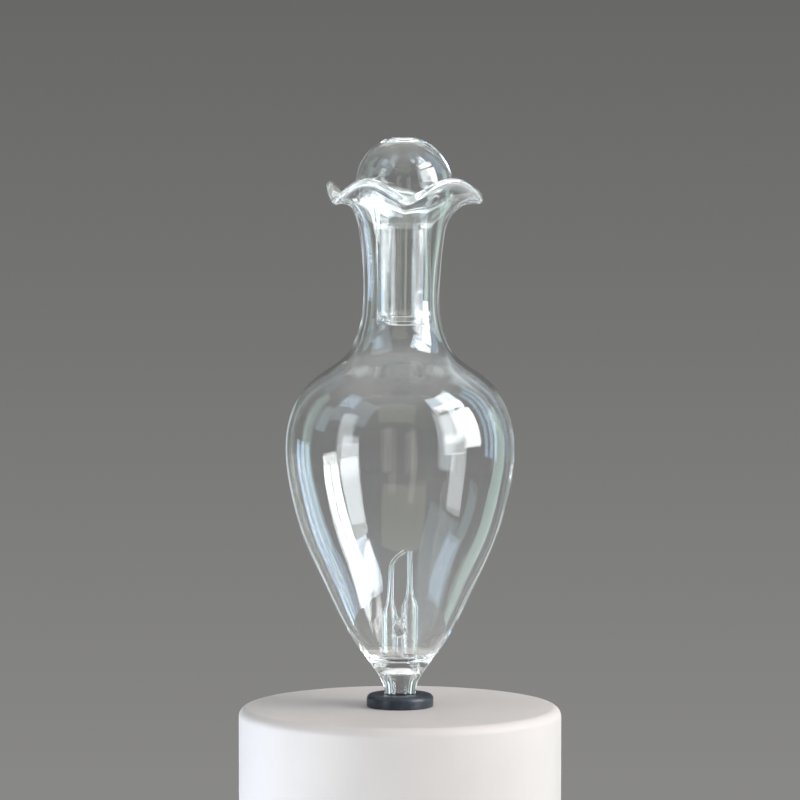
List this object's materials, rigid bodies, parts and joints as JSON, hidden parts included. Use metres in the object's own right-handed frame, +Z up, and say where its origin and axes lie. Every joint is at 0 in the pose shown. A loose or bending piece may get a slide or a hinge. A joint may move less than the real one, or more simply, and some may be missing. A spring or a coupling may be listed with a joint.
{
  "type": "glass nebuliser head",
  "caption": "Clear blown-glass nebuliser head: pear-shaped oil reservoir with a ruffled neck, lift-out globe silencer, inner air and oil tubes, and a hollow stem in a black rubber gasket.",
  "frame": {"origin": "on the stem's axis, level with the underside of the gasket's flange, where the head rests on its base", "axes": "+Z up along the stem towards the neck, front towards -Y, with the air tube on the +X side and the oil tube on the -X side"},
  "size_m": [0.0718, 0.0718, 0.1962],
  "materials": {
    "clear_glass": "clear polished blown glass",
    "ruffled_glass": "clear polished glass, faintly green where it is thick",
    "black_rubber": "satin black rubber"
  },
  "bodies": {
    "gasket": {"stem_gasket": "black_rubber"},
    "glass": {"stem_tube": "clear_glass", "well_floor": "clear_glass", "reservoir_bulb": "clear_glass", "ruffled_neck": "ruffled_glass", "air_jet_tube": "clear_glass", "oil_tube": "clear_glass", "bridge_bead": "clear_glass"},
    "silencer": {"silencer_globe": "clear_glass", "silencer_tube": "clear_glass"}
  },
  "joints": [
    {"name": "glass_lift", "type": "slide", "parent": "gasket", "child": "glass", "axis": [0, 0, 1], "range_m": [0, 0.03]},
    {"name": "silencer_lift", "type": "slide", "parent": "glass", "child": "silencer", "axis": [0, 0, 1], "range_m": [0, 0.052]}
  ]
}
